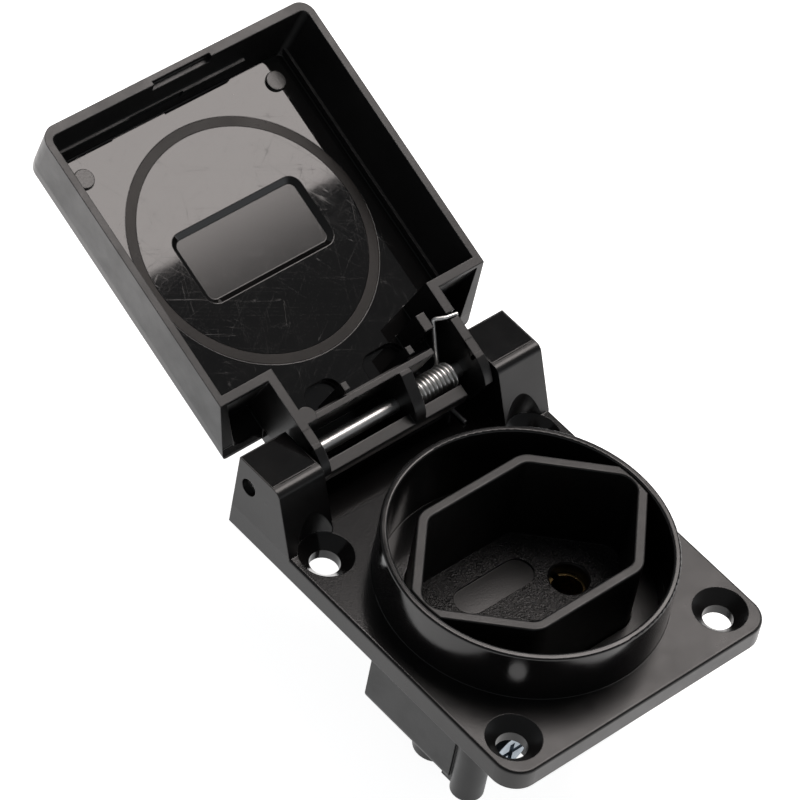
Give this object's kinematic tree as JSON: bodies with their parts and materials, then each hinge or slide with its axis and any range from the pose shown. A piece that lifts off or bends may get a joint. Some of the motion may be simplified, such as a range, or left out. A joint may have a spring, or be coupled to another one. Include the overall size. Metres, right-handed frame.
{
  "type": "panel-mount socket outlet with hinged lid",
  "caption": "Square-flanged panel socket outlet with a hexagonal three-pin recess inside a round collar, and a spring-loaded splash lid on a hinge.",
  "frame": {"origin": "on the collar's axis, in the plane of the panel's face (the flange's back)", "axes": "+X along the hinge, +Y towards the hinge, +Z out of the panel"},
  "size_m": [0.044, 0.0989, 0.0557],
  "materials": {
    "flange_plastic": "fine satin",
    "insert_plastic": "spark-eroded grain",
    "cover_plastic": "satin",
    "lid_plastic": "polished inside, satin outside",
    "seal_rubber": "soft matte",
    "pin_steel": "bright drawn",
    "spring_steel": "bright wire",
    "screw_zinc": "zinc plated",
    "clamp_zinc": "zinc plated",
    "contact_brass": "stamped strip"
  },
  "bodies": {
    "base": {"earth_clamp_plate": "clamp_zinc", "earth_contact": "contact_brass", "earth_terminal_screw": "screw_zinc", "flange_body": "flange_plastic", "hinge_pin": "pin_steel", "left_cover_screw": "screw_zinc", "lid_spring": "spring_steel", "line_clamp_plate": "clamp_zinc", "line_contact": "contact_brass", "line_terminal_screw": "screw_zinc", "neutral_clamp_plate": "clamp_zinc", "neutral_contact": "contact_brass", "neutral_terminal_screw": "screw_zinc", "rear_cover": "cover_plastic", "right_cover_screw": "screw_zinc", "socket_insert": "insert_plastic"},
    "lid": {"lid": "lid_plastic", "lid_seal_ring": "seal_rubber"}
  },
  "joints": [
    {"name": "lid_hinge", "type": "hinge", "parent": "base", "child": "lid", "pos_m": [0, 0.02776, 0.00847], "axis": [1, 0, 0], "range_deg": [0, 157.6], "stiffness_Nm_per_rad": 0.0003, "springref_deg": 171.89, "deforming": ["lid_spring"]}
  ]
}
